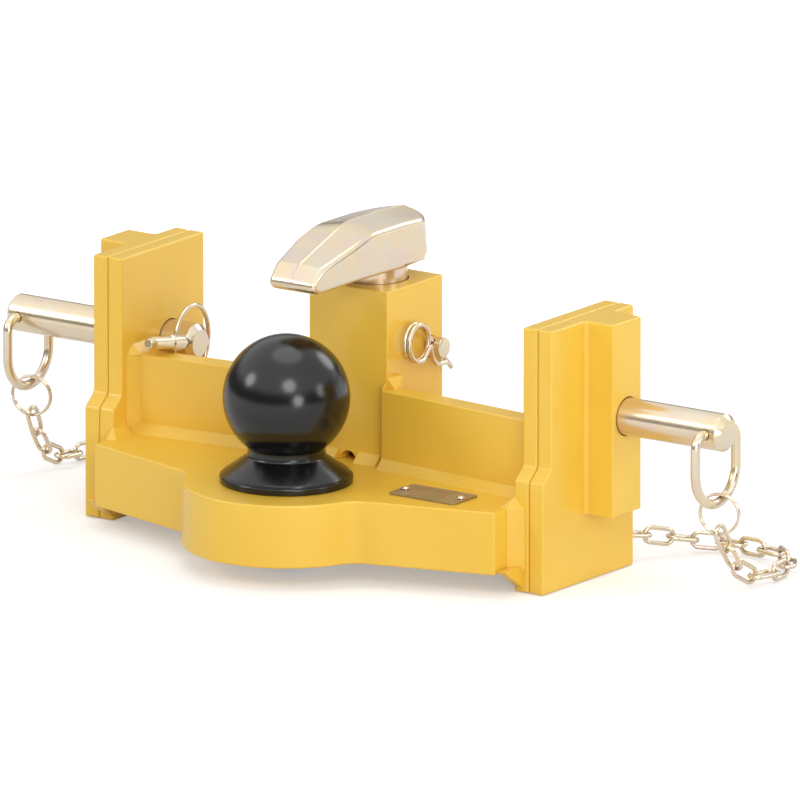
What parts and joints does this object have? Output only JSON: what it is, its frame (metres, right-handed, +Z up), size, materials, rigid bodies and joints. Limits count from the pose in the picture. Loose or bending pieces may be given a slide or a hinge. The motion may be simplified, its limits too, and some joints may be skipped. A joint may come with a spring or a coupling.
{
  "type": "tractor ball hitch carriage",
  "caption": "Tractor ball hitch carriage: a ball on a welded slide-in frame with a swivelling hold-down, a cross pin with clip and chained locking pins.",
  "frame": {"origin": "floor level under the middle of the part, measured without the chains", "axes": "+X to the right across the carriage, +Y from the ball towards the tractor, +Z up"},
  "size_m": [0.5573, 0.2615, 0.2088],
  "materials": {
    "yellow_paint": "satin",
    "yellow_zinc": "satin",
    "black_ball": "gloss",
    "bare_plate": "satin"
  },
  "bodies": {
    "carriage": {"base_plate": "yellow_paint", "block": "yellow_paint", "guide_left": "yellow_paint", "guide_right": "yellow_paint", "cheek_left": "yellow_paint", "cheek_right": "yellow_paint", "wing_left": "yellow_paint", "wing_right": "yellow_paint", "chain_eye_left": "yellow_paint", "chain_eye_right": "yellow_paint", "ball": "black_ball", "ball_washer": "yellow_zinc", "ball_nut": "yellow_zinc", "type_plate": "bare_plate", "rivet_1": "yellow_zinc", "rivet_2": "yellow_zinc", "link_left_01": "yellow_zinc", "link_left_02": "yellow_zinc", "link_left_03": "yellow_zinc", "link_left_04": "yellow_zinc", "link_left_05": "yellow_zinc", "link_left_06": "yellow_zinc", "link_left_07": "yellow_zinc", "link_left_08": "yellow_zinc", "link_left_09": "yellow_zinc", "link_left_10": "yellow_zinc", "link_left_11": "yellow_zinc", "link_left_12": "yellow_zinc", "link_left_13": "yellow_zinc", "link_left_14": "yellow_zinc", "link_right_01": "yellow_zinc", "link_right_02": "yellow_zinc", "link_right_03": "yellow_zinc", "link_right_04": "yellow_zinc", "link_right_05": "yellow_zinc", "link_right_06": "yellow_zinc", "link_right_07": "yellow_zinc", "link_right_08": "yellow_zinc", "link_right_09": "yellow_zinc", "link_right_10": "yellow_zinc", "link_right_11": "yellow_zinc", "link_right_12": "yellow_zinc", "link_right_13": "yellow_zinc", "link_right_14": "yellow_zinc"},
    "hold_down": {"hold_down_arm": "yellow_zinc", "hold_down_shaft": "yellow_zinc"},
    "cross_pin": {"cross_pin": "yellow_zinc"},
    "clip": {"r_clip": "yellow_zinc"},
    "lock_pin_left": {"lock_pin_left": "yellow_zinc"},
    "linch_pin_left": {"linch_pin_left": "yellow_zinc"},
    "bail_left": {"bail_left": "yellow_zinc"},
    "d_ring_left": {"d_ring_left": "yellow_zinc", "split_ring_left": "yellow_zinc"},
    "lock_pin_right": {"lock_pin_right": "yellow_zinc"},
    "linch_pin_right": {"linch_pin_right": "yellow_zinc"},
    "bail_right": {"bail_right": "yellow_zinc"},
    "d_ring_right": {"d_ring_right": "yellow_zinc", "split_ring_right": "yellow_zinc"}
  },
  "joints": [
    {"name": "hold_down_swivel", "type": "hinge", "parent": "carriage", "child": "hold_down", "pos_m": [0, 0.06005, 0.12], "axis": [0, 0, 1], "continuous": true},
    {"name": "cross_pin_play", "type": "slide", "parent": "carriage", "child": "cross_pin", "axis": [1, 0, 0], "range_m": [-0.0022, 0]},
    {"name": "clip_pull", "type": "slide", "parent": "cross_pin", "child": "clip", "axis": [0, -0.7071, 0.7071], "range_m": [0, 0.026], "deforming": ["r_clip"]},
    {"name": "lock_pin_slide_left", "type": "slide", "parent": "carriage", "child": "lock_pin_left", "axis": [-1, 0, 0], "range_m": [-0.006, 0.005], "deforming": ["link_left_01", "link_left_02", "link_left_03", "link_left_04", "link_left_05", "link_left_06", "link_left_07", "link_left_08", "link_left_09", "link_left_10", "link_left_11", "link_left_12", "link_left_13", "link_left_14"]},
    {"name": "d_ring_swing_left", "type": "hinge", "parent": "lock_pin_left", "child": "d_ring_left", "pos_m": [-0.2646, 0.0533, 0.1063], "axis": [0, 1, 0], "range_deg": [-45, 90], "deforming": ["link_left_01", "link_left_02", "link_left_03", "link_left_04", "link_left_05", "link_left_06", "link_left_07", "link_left_08", "link_left_09", "link_left_10", "link_left_11", "link_left_12", "link_left_13", "link_left_14"]},
    {"name": "linch_pin_play_left", "type": "slide", "parent": "lock_pin_left", "child": "linch_pin_left", "axis": [0, -0.9848, 0.1736], "range_m": [0, 0.001]},
    {"name": "bail_flip_left", "type": "hinge", "parent": "linch_pin_left", "child": "bail_left", "pos_m": [-0.1365, 0.0341, 0.10969], "axis": [0, 0.1736, 0.9848], "range_deg": [-65, 0]},
    {"name": "lock_pin_slide_right", "type": "slide", "parent": "carriage", "child": "lock_pin_right", "axis": [1, 0, 0], "range_m": [-0.015, 0.005], "deforming": ["link_right_01", "link_right_02", "link_right_03", "link_right_04", "link_right_05", "link_right_06", "link_right_07", "link_right_08", "link_right_09", "link_right_10", "link_right_11", "link_right_12", "link_right_13", "link_right_14"]},
    {"name": "d_ring_swing_right", "type": "hinge", "parent": "lock_pin_right", "child": "d_ring_right", "pos_m": [0.2646, 0.0533, 0.1063], "axis": [0, 1, 0], "range_deg": [-90, 45], "deforming": ["link_right_01", "link_right_02", "link_right_03", "link_right_04", "link_right_05", "link_right_06", "link_right_07", "link_right_08", "link_right_09", "link_right_10", "link_right_11", "link_right_12", "link_right_13", "link_right_14"]},
    {"name": "linch_pin_play_right", "type": "slide", "parent": "lock_pin_right", "child": "linch_pin_right", "axis": [0, 0.9848, 0.1736], "range_m": [0, 0.001]},
    {"name": "bail_flip_right", "type": "hinge", "parent": "linch_pin_right", "child": "bail_right", "pos_m": [0.1365, 0.0725, 0.10969], "axis": [0, -0.1736, 0.9848], "range_deg": [-65, 0]}
  ]
}
